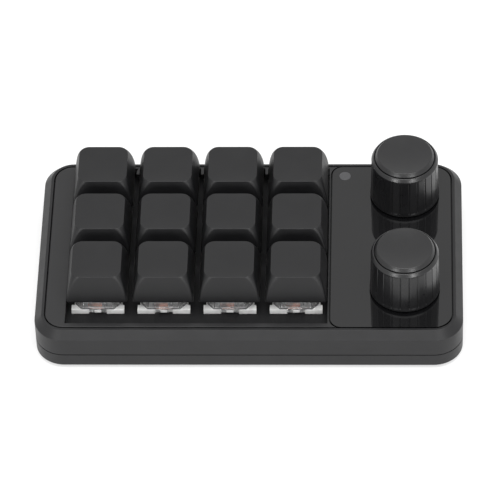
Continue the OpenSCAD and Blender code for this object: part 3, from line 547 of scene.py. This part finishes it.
def make_finishes(colours):
    """All finishes, by the record's material slots."""
    knob_axis = middle("encoder_shaft_1")
    return {
        "case_plastic": moulded_plastic("Outer plastic", colours.case, 0.42, gloss=0.36),
        "bezel_plastic": moulded_plastic("Bezel plastic", colours.case, 0.4, cloud=12 * MM, gloss=0.5),
        "panel_acrylic": polished_sheet("Knob panel sheet", colours.panel),
        "window_acrylic": polished_sheet("Smoked window", colours.window),
        "lamp_plastic": lamp_resin("Indicator lamp"),
        "plate_steel": moulded_plastic(
            "Coated plate", colours.plate, 0.55, grain=0.3 * MM, depth=0.01 * MM, gloss=0.3
        ),
        "white_housing": moulded_plastic(
            "White housing", colours.white, 0.38, depth=0.002 * MM, cloud=3 * MM
        ),
        "clear_housing": clear_plastic("Clear housing", colours.clear),
        "contact_copper": metal("Contact copper", colours.copper, 0.3, stretch=(4, 4, 1)),
        "spring_steel": metal("Spring steel", colours.steel, 0.25),
        "board_laminate": solder_mask("Board laminate", colours.board),
        "chip_plastic": moulded_plastic(
            "Chip resin", (0.012, 0.012, 0.012), 0.5, grain=0.1 * MM, cloud=3 * MM
        ),
        "small_part_ceramic": moulded_plastic("Small part ceramic", (0.42, 0.33, 0.22), 0.4, cloud=2 * MM),
        "socket_steel": metal("Socket steel", (0.66, 0.66, 0.67), 0.24, stretch=(4, 1, 4)),
        "encoder_plastic": moulded_plastic("Encoder plastic", (0.014, 0.014, 0.015), 0.45, cloud=4 * MM),
        "bracket_steel": metal("Bracket steel", (0.62, 0.62, 0.6), 0.3, stretch=(1, 4, 4)),
        "bushing_zinc": turned_metal("Bushing zinc", (0.6, 0.6, 0.61), 0.34, knob_axis),
        "pin_brass": metal("Tinned pins", (0.7, 0.66, 0.5), 0.28),
        "screw_steel": metal("Screw steel", scaled(colours.steel, 0.3), 0.36, depth=0.006 * MM),
        "foot_rubber": rubber("Foot rubber", colours.rubber),
        "rotor_plastic": moulded_plastic("Rotor plastic", (0.62, 0.58, 0.46), 0.42, cloud=3 * MM),
        "shaft_aluminium": turned_metal("Shaft aluminium", (0.74, 0.74, 0.76), 0.26, knob_axis),
        "knob_plastic": moulded_plastic("Knob plastic", colours.knob, 0.3, depth=0.001 * MM, cloud=6 * MM),
        "knob_cap_plastic": moulded_plastic("Knob cap plastic", colours.knob, 0.34, depth=0.0015 * MM),
        "keycap_plastic": moulded_plastic("Keycap plastic", colours.keycap, 0.45, grain=0.2 * MM, gloss=0.37),
        "stem_plastic": moulded_plastic("Stem plastic", colours.stem, 0.35, cloud=2 * MM),
    }


def finish_of(slot):
    """The finish of a material slot, which make_finishes has put into the file."""
    return bpy.data.materials[bpy.context.scene["keypad_finishes"][slot]]


def dress(piece, slot):
    """Gives a piece the finish of a slot."""
    piece.data.materials.clear()
    piece.data.materials.append(finish_of(slot))


def soften(node, radius, angle=30.0, segments=3):
    """Rounds the sharp edges of a CAD node: its points are welded, and each edge sharper than angle, in
    degrees, is beveled."""
    piece = frame["nodes"][node]
    weld = piece.modifiers.new("Weld", "WELD")
    weld.merge_threshold = 0.0005 * MM
    bevel = piece.modifiers.new("Rounding", "BEVEL")
    bevel.width = radius
    bevel.segments = segments
    bevel.limit_method = "ANGLE"
    bevel.angle_limit = math.radians(angle)
    bevel.use_clamp_overlap = False
    bevel.miter_outer = "MITER_ARC"
    normals = piece.modifiers.new("Normals", "WEIGHTED_NORMAL")
    normals.mode = "FACE_AREA"
    normals.keep_sharp = False
    piece.data.polygons.foreach_set("use_smooth", np.ones(len(piece.data.polygons), bool))


# ---------------------------------------------------------------- pieces


class KEYPAD_OT_finishes(bpy.types.Operator):
    """Makes every finish and gives each CAD node its own"""

    bl_idname = "keypad.finishes"
    bl_label = "Finishes"

    def execute(self, context):
        made = make_finishes(context.scene.keypad.colours)
        context.scene["keypad_finishes"] = {slot: material.name for slot, material in made.items()}
        for name, node in frame["nodes"].items():
            dress(node, SLOT_OF[name])
        return {"FINISHED"}


class KEYPAD_OT_case(bpy.types.Operator):
    """Rounds the edges of the case, the bezel, the socket, the feet, the switch housings and their plate"""

    bl_idname = "keypad.case"
    bl_label = "Case edges"

    def execute(self, context):
        edges = context.scene.keypad.edges
        for node in ("top_case", "bottom_case"):
            soften(node, edges.case)
        for node in ("key_bezel", "data_socket", "rubber_feet"):
            soften(node, edges.inlay)
        for node in ("switch_bottoms", "switch_tops", "switch_plate"):
            soften(node, edges.small, segments=2)
        return {"FINISHED"}


def keycap_rings(sizes):
    """A keycap's rings from its inside roof, down its inner walls, round its base, up its outer walls and
    over its dish.

    At a share t of the way up, the half-width is base / 2 - lean * t ** bulge, and the corner radius goes
    from the base's to the top's with t ** corner_bulge. The base's lip is half an ellipse across the wall.
    The top edge is an arc, and the dish falls with the share s of the half-width: depth * (1 - s * s).
    """
    bottom, top = KEYCAP_LOW.z, KEYCAP_HIGH.z
    rise = top - bottom
    lean = (sizes.base_width - sizes.top_width) / 2
    lip = 0.12 * MM
    lip_steps = 7
    least_corner = 0.35 * MM
    # The inner walls end at this share of the height, over the lip
    lowest_inner = 0.02
    # The top edge's arc turns this far past level, in radians, into the dish
    past_level = 0.08
    # The shares of the half-width at which the inside roof and the dish have their rings
    roof_share = np.array([0.3, 0.92])
    dish_share = np.linspace(0.97, 0.06, 16)

    def half_at(t):
        return sizes.base_width / 2 - lean * t**sizes.bulge

    def corner_at(t):
        return sizes.base_corner + (sizes.top_corner - sizes.base_corner) * t**sizes.corner_bulge

    roof = top - sizes.dish - sizes.roof
    inner_t = np.linspace((roof - bottom) / rise, lowest_inner, 12)
    inner_half = half_at(inner_t) - sizes.wall
    inner_corner = np.maximum(corner_at(inner_t) - sizes.wall, least_corner)
    lip_turn = np.linspace(0, math.pi, lip_steps)[1:-1]
    lip_half = half_at(0) - sizes.wall / 2 * (1 + np.cos(lip_turn))
    lip_height = bottom + lip * (1 - np.sin(lip_turn))
    lip_corner = np.linspace(inner_corner[-1], sizes.base_corner, lip_steps)[1:-1]
    outer_t = np.linspace(lip / rise, 1 - sizes.edge / rise, 26)
    slope = math.atan(lean * sizes.bulge / rise)
    turn = np.linspace(slope, math.pi / 2 + past_level, 8)[1:]
    edge_half = half_at(outer_t[-1]) + sizes.edge * (np.cos(turn) - math.cos(slope))
    edge_height = top - sizes.edge * (1 - np.sin(turn))
    edge_corner = corner_at(1) - (edge_half[0] - edge_half)
    half = np.concatenate([
        roof_share * inner_half[0], inner_half, lip_half, half_at(outer_t), edge_half,
        edge_half[-1] * dish_share,
    ])
    corner = np.concatenate([
        roof_share * inner_corner[0], inner_corner, lip_corner, corner_at(outer_t), edge_corner,
        edge_corner[-1] * dish_share,
    ])
    height = np.concatenate([
        [roof, roof], bottom + inner_t * rise, lip_height, bottom + outer_t * rise, edge_height,
        top - sizes.dish * (1 - dish_share**2),
    ])
    return square_rings(half, corner, height)


def post_rings(sizes):
    """The post under a keycap: a turned tube from inside the roof down to just above the switch's top."""
    into_roof = 0.2 * sizes.roof
    clearance = 0.1 * MM
    chamfer = 0.2 * MM
    roof = KEYCAP_HIGH.z - sizes.dish - sizes.roof + into_roof
    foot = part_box("switch_tops")[1].z + clearance
    profile = [
        (sizes.post_bore, roof), (sizes.post_bore, foot + chamfer), (sizes.post_bore + chamfer, foot),
        (sizes.post - chamfer, foot), (sizes.post, foot + chamfer), (sizes.post, roof),
    ]
    return turned_rings(profile, 48)


class KEYPAD_OT_keycaps(bpy.types.Operator):
    """Makes the twelve keycaps with their curved sides, dished tops and posts"""

    bl_idname = "keypad.keycaps"
    bl_label = "Keycaps"

    def execute(self, context):
        sizes = context.scene.keypad.keycap
        cap_points, cap_faces = closed_rings(keycap_rings(sizes))
        post_points, post_faces = closed_rings(post_rings(sizes))
        points = np.vstack([cap_points, post_points])
        faces = cap_faces + [[i + len(cap_points) for i in face] for face in post_faces]
        for key in KEYS:
            node = f"keycap_{key}"
            moved = points + np.array(middle(node))
            piece = new_piece(f"dressed_{node}", moved, faces, f"key_{key}", [node])
            dress(piece, "keycap_plastic")
        return {"FINISHED"}


def skirt_profile(sizes):
    """A knob skirt's profile, from the top of its bore round its hub, wall and rim to its seat."""
    base = SKIRT_LOW.z
    base_r = (SKIRT_HIGH.x - SKIRT_LOW.x) / 2
    rim = SKIRT_HIGH.z
    seat = CAP_LOW.z
    rib_top = rim - sizes.shoulder_height
    shoulder_r = sizes.top_radius - sizes.shoulder_width
    inner_r = base_r - sizes.ring_width - sizes.wall
    cavity = seat - sizes.roof
    bore_gap = 0.02 * MM
    shaft_end_gap = 0.2 * MM
    bushing_gap = 0.8 * MM
    draft = 0.01 * MM
    bore_r = (SHAFT_HIGH.y - SHAFT_LOW.y) / 2 + bore_gap
    bore_top = SHAFT_HIGH.z + shaft_end_gap
    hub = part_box("encoder_bushings")[1].z + bushing_gap
    ring_top = base + sizes.ring_height
    edge = sizes.edge
    corners = [
        (0, bore_top), (bore_r, bore_top), (bore_r, hub), (sizes.hub_radius, hub), (sizes.hub_radius, cavity),
        (inner_r, cavity), (inner_r, base), (base_r, base), (base_r - sizes.ring_width, ring_top),
        (base_r - sizes.ring_width - draft, ring_top + edge), (sizes.top_radius, rib_top - edge),
        (sizes.top_radius, rib_top), (shoulder_r, rim), (shoulder_r - sizes.rim_width, rim),
        (shoulder_r - sizes.rim_width, seat), (0, seat),
    ]
    radii = [0, edge, edge, edge, edge, edge, 1.6 * edge, edge, 0, 0, 0.8 * edge, edge, 0.6 * edge, edge]
    return rounded_profile(corners, radii), ring_top, rib_top


def fill_in(profile):
    """A profile with more points on the longest stretch of its outside, close together near both its ends."""
    outside = 0.93 * profile[:, 0].max()
    rises = np.abs(np.diff(profile[:, 1]))
    longest = int(np.argmax(np.where(profile[:-1, 0] > outside, rises, 0)))
    start, end = profile[longest], profile[longest + 1]
    share = np.array([0.03, 0.06, 0.1, 0.3, 0.5, 0.7, 0.9, 0.94, 0.97])[:, None]
    return np.vstack([profile[: longest + 1], start + (end - start) * share, profile[longest + 1 :]])


def groove_angle(sizes):
    """The angle that a groove takes up with its sloping sides, which is wider than the groove itself."""
    spread = 1.3
    return spread * sizes.groove_width / sizes.top_radius


def rib_angles(sizes):
    """Angles round a knob, close together in each groove and wide apart on each rib."""
    pitch = 2 * math.pi / sizes.ribs
    groove = groove_angle(sizes)
    inside = np.linspace(-groove / 2, groove / 2, 9)
    outside = np.linspace(groove / 2, pitch - groove / 2, 8)[1:-1]
    local = np.concatenate([inside, outside])
    return (np.arange(sizes.ribs)[:, None] * pitch + local + pitch / 2).ravel()


def skirt_reach(sizes, ring_top, rib_top):
    """The radius round a ribbed skirt: each rib is a flat facet, and each groove a cosine dip.

    A facet lies at r cos(pitch / 2) / cos(a) for an angle a from its middle. Both fade out at the plain ring
    and at the shoulder.
    """
    pitch = 2 * math.pi / sizes.ribs
    groove = groove_angle(sizes)
    fade = 0.45 * MM

    def reach(angle, profile):
        radius, height = profile[:, :1], profile[:, 1:]
        from_groove = angle % pitch - pitch / 2
        from_facet = (angle + pitch / 2) % pitch - pitch / 2
        wave = 0.5 + 0.5 * np.cos(2 * math.pi * from_groove / groove)
        dip = np.where(abs(from_groove) < groove / 2, wave, 0)
        flat = 1 - math.cos(pitch / 2) / np.cos(from_facet)
        inside = np.clip(np.minimum(height - ring_top, rib_top - height) / fade, 0, 1)
        outer = radius > sizes.top_radius - sizes.shoulder_width
        return radius - outer * inside * (sizes.groove_depth * dip + radius * flat)

    return reach


def cap_profile(sizes):
    """A knob cap's profile: its seat, its upright side, its bevel, a narrow brow round its top, and its dish,
    which falls as the square of the radius."""
    brow_width = 0.2 * MM
    brow_rise = 0.04 * MM
    brow_fall = 0.1 * MM
    low, top = CAP_LOW.z, CAP_HIGH.z
    side_r = (CAP_HIGH.x - CAP_LOW.x) / 2
    brow_r = side_r - sizes.bevel_width
    edge = sizes.edge
    share = np.linspace(1, 0, 24)
    dish = np.stack([sizes.dish_radius * share, top - brow_fall - sizes.dish * (1 - share**2)], axis=-1)
    corners = [
        (0, low), (side_r, low), (side_r, top - sizes.bevel_height), (brow_r, top - brow_rise),
        (brow_r - brow_width, top), tuple(dish[0]),
    ]
    rim = rounded_profile(corners, [edge, edge, 0.6 * edge, edge])
    return np.vstack([rim, dish[1:]])


class KEYPAD_OT_knobs(bpy.types.Operator):
    """Makes the two ribbed knob skirts and their dished caps"""

    bl_idname = "keypad.knobs"
    bl_label = "Knobs"

    def execute(self, context):
        sizes = context.scene.keypad.knob
        profile, ring_top, rib_top = skirt_profile(sizes)
        skirt = turned_rings(fill_in(profile)[1:-1], rib_angles(sizes), skirt_reach(sizes, ring_top, rib_top))
        cap = turned_rings(cap_profile(sizes)[1:-1], 160)
        for knob in KNOBS:
            centre = np.array(middle(f"knob_skirt_{knob}"))
            for kind, rings, slot in (("skirt", skirt, "knob_plastic"), ("cap", cap, "knob_cap_plastic")):
                points, faces = closed_rings(rings)
                node = f"knob_{kind}_{knob}"
                piece = new_piece(f"dressed_{node}", points + centre, faces, f"knob_{knob}", [node])
                dress(piece, slot)
        return {"FINISHED"}


class KEYPAD_OT_springs(bpy.types.Operator):
    """Winds the twelve return springs"""

    bl_idname = "keypad.springs"
    bl_label = "Springs"

    def execute(self, context):
        sizes = context.scene.keypad.spring
        low, high = SPRING_LOW.z, SPRING_HIGH.z - sizes.seat_gap
        travel = next(j for j in frame["joints"] if j["name"] == "key_1_press")
        stroke = max(abs(v) for v in travel["range_m"])
        points, faces = closed_rings(coil_rings(sizes, low, high))
        for key in KEYS:
            piece = new_piece(
                f"spring_{key}", points + np.array(middle(f"key_stem_{key}")), faces, "root",
                ["key_springs"],
            )
            dress(piece, "spring_steel")
            (high - low - stroke) / (high - low)
            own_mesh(piece)
        return {"FINISHED"}


def coil_rings(sizes, low, high, steps=24, sides=8):
    """A spring's wire: rings of a circle carried along a helix, whose end turns lie flat.

    The helix is (R cos a, R sin a, z). z stands still over the end turns and climbs evenly between them.
    """
    end_turns = 1.1
    share = np.linspace(0, 1, int(sizes.turns * steps) + 1)
    angle = share * sizes.turns * 2 * math.pi
    rest = end_turns / sizes.turns
    climb = np.clip((share - rest) / (1 - 2 * rest), 0, 1)
    height = low + sizes.wire + climb * (high - low - 2 * sizes.wire)
    around = np.arange(sides) * 2 * math.pi / sides
    radius = sizes.coil + sizes.wire * np.cos(around)
    return np.stack(
        [
            radius * np.cos(angle)[:, None],
            radius * np.sin(angle)[:, None],
            height[:, None] - sizes.wire * np.sin(around),
        ],
        axis=-1,
    )


# ---------------------------------------------------------------- stage


def aim(place, target, roll=0.0):
    """A matrix at place whose -Z looks at target, turned about its own axis by roll."""
    turn = (Vector(target) - Vector(place)).to_track_quat("-Z", "Y").to_matrix().to_4x4()
    return Matrix.Translation(place) @ turn @ Matrix.Rotation(roll, 4, "Z")


def direction(azimuth, elevation):
    """The way from the keypad to a place. Its azimuth is counted to the right from the front, in radians."""
    level = math.cos(elevation)
    return Vector((math.sin(azimuth) * level, -math.cos(azimuth) * level, math.sin(elevation)))


def soft_lamp(name, azimuth, elevation, distance, size, power):
    """A rectangular lamp that faces the keypad from an azimuth and an elevation in degrees."""
    aimed_at = (0, 0, 10 * MM)
    light = bpy.data.lights.new(name, "AREA")
    light.shape = "RECTANGLE"
    light.size, light.size_y = size
    light.energy = power
    lamp = bpy.data.objects.new(name, light)
    bpy.context.scene.collection.objects.link(lamp)
    lamp.matrix_world = aim(direction(math.radians(azimuth), math.radians(elevation)) * distance, aimed_at)


def white_for_the_eye(finish, lit, white_kind, share):
    """A shader that shows plain white to the camera, to reflections and through clear parts, by a share, and
    is lit otherwise."""
    seen = finish.add("ShaderNodeLightPath", output="Is Camera Ray")
    for ray in ("Is Glossy Ray", "Is Transmission Ray"):
        seen = seen.math("MAXIMUM", seen, finish.add("ShaderNodeLightPath", output=ray))
    white = finish.add(white_kind, {}, {"Color": (1, 1, 1, 1), "Strength": 1.0})
    return finish.add("ShaderNodeMixShader", {}, {0: seen * share, 1: lit, 2: white})


class KEYPAD_OT_stage(bpy.types.Operator):
    """Sets the pale floor, the soft light and the camera"""

    bl_idname = "keypad.stage"
    bl_label = "Stage"

    def execute(self, context):
        scene = context.scene
        stage = scene.keypad.stage
        scene.view_settings.view_transform = "Standard"
        make_floor(stage)
        make_world(scene, stage)
        soft_lamp(
            "overhead_lamp", azimuth=10, elevation=72, distance=0.9, size=(0.9, 0.7), power=stage.overhead
        )
        for side, turn in (("left", -27), ("right", 27)):
            soft_lamp(
                f"front_lamp_{side}", azimuth=turn, elevation=16, distance=1.0, size=(0.2, 0.28),
                power=stage.front,
            )
        make_camera(scene, stage)
        return {"FINISHED"}


def make_floor(stage):
    """A wide pale floor, a hair below the feet so that the two faces never fight."""
    half = stage.floor_size / 2
    level = -0.02 * MM
    corners = [(x * half, y * half, level) for x, y in ((-1, -1), (1, -1), (1, 1), (-1, 1))]
    mesh = bpy.data.meshes.new("floor")
    mesh.from_pydata(corners, [], [(0, 1, 2, 3)])
    floor = bpy.data.objects.new("floor", mesh)
    bpy.context.scene.collection.objects.link(floor)
    paper = Finish("Floor paper")
    lit = paper.add("ShaderNodeBsdfDiffuse", {}, {"Color": (0.93, 0.93, 0.93, 1)})
    mix = white_for_the_eye(paper, lit, "ShaderNodeEmission", stage.floor_glow)
    paper.add("ShaderNodeOutputMaterial", {}, {"Surface": mix})
    mesh.materials.append(paper.owner)


def make_world(scene, stage):
    """A white room: full white to the eye and in reflections, a plain level of light otherwise."""
    room = Finish("White room", "worlds")
    lit = room.add("ShaderNodeBackground", {}, {"Color": (1, 1, 1, 1), "Strength": stage.ambient})
    mix = white_for_the_eye(room, lit, "ShaderNodeBackground", 1.0)
    room.add("ShaderNodeOutputWorld", {}, {"Surface": mix})
    scene.world = room.owner


def make_camera(scene, stage):
    """The photograph's viewpoint."""
    camera = bpy.data.objects.new("camera", bpy.data.cameras.new("camera"))
    scene.collection.objects.link(camera)
    camera.data.lens = stage.lens
    camera.data.clip_end = 20
    back = direction(stage.azimuth, stage.elevation)
    target = Vector(stage.target)
    camera.matrix_world = aim(target + back * stage.distance, target, stage.roll)
    scene.camera = camera


# ---------------------------------------------------------------- add-on


class KEYPAD_PT_panel(bpy.types.Panel):
    """Lists the keypad's pieces"""

    bl_idname = "KEYPAD_PT_panel"
    bl_label = "Keypad"
    bl_space_type = "VIEW_3D"
    bl_region_type = "UI"
    bl_category = "Keypad"

    def draw(self, context):
        for maker in MAKERS:
            self.layout.operator(maker.bl_idname)
        for group in KeypadSettings.__annotations__:
            settings = getattr(context.scene.keypad, group)
            box = self.layout.box()
            for name in settings.__annotations__:
                box.prop(settings, name)


MAKERS = (KEYPAD_OT_finishes, KEYPAD_OT_case, KEYPAD_OT_keycaps, KEYPAD_OT_knobs, KEYPAD_OT_springs,
          KEYPAD_OT_stage)
GROUPS = (KeycapSizes, KnobSizes, SpringSizes, EdgeSizes, FinishColours, StageSettings, KeypadSettings)


def register():
    for cls in (*GROUPS, *MAKERS, KEYPAD_PT_panel):
        bpy.utils.register_class(cls)
    bpy.types.Scene.keypad = PointerProperty(type=KeypadSettings)


def unregister():
    del bpy.types.Scene.keypad
    for cls in reversed((*GROUPS, *MAKERS, KEYPAD_PT_panel)):
        bpy.utils.unregister_class(cls)


def main():
    """Builds everything in order."""
    register()
    for maker in MAKERS:
        group, name = maker.bl_idname.split(".")
        getattr(getattr(bpy.ops, group), name)()


if __name__ == "__main__":
    main()
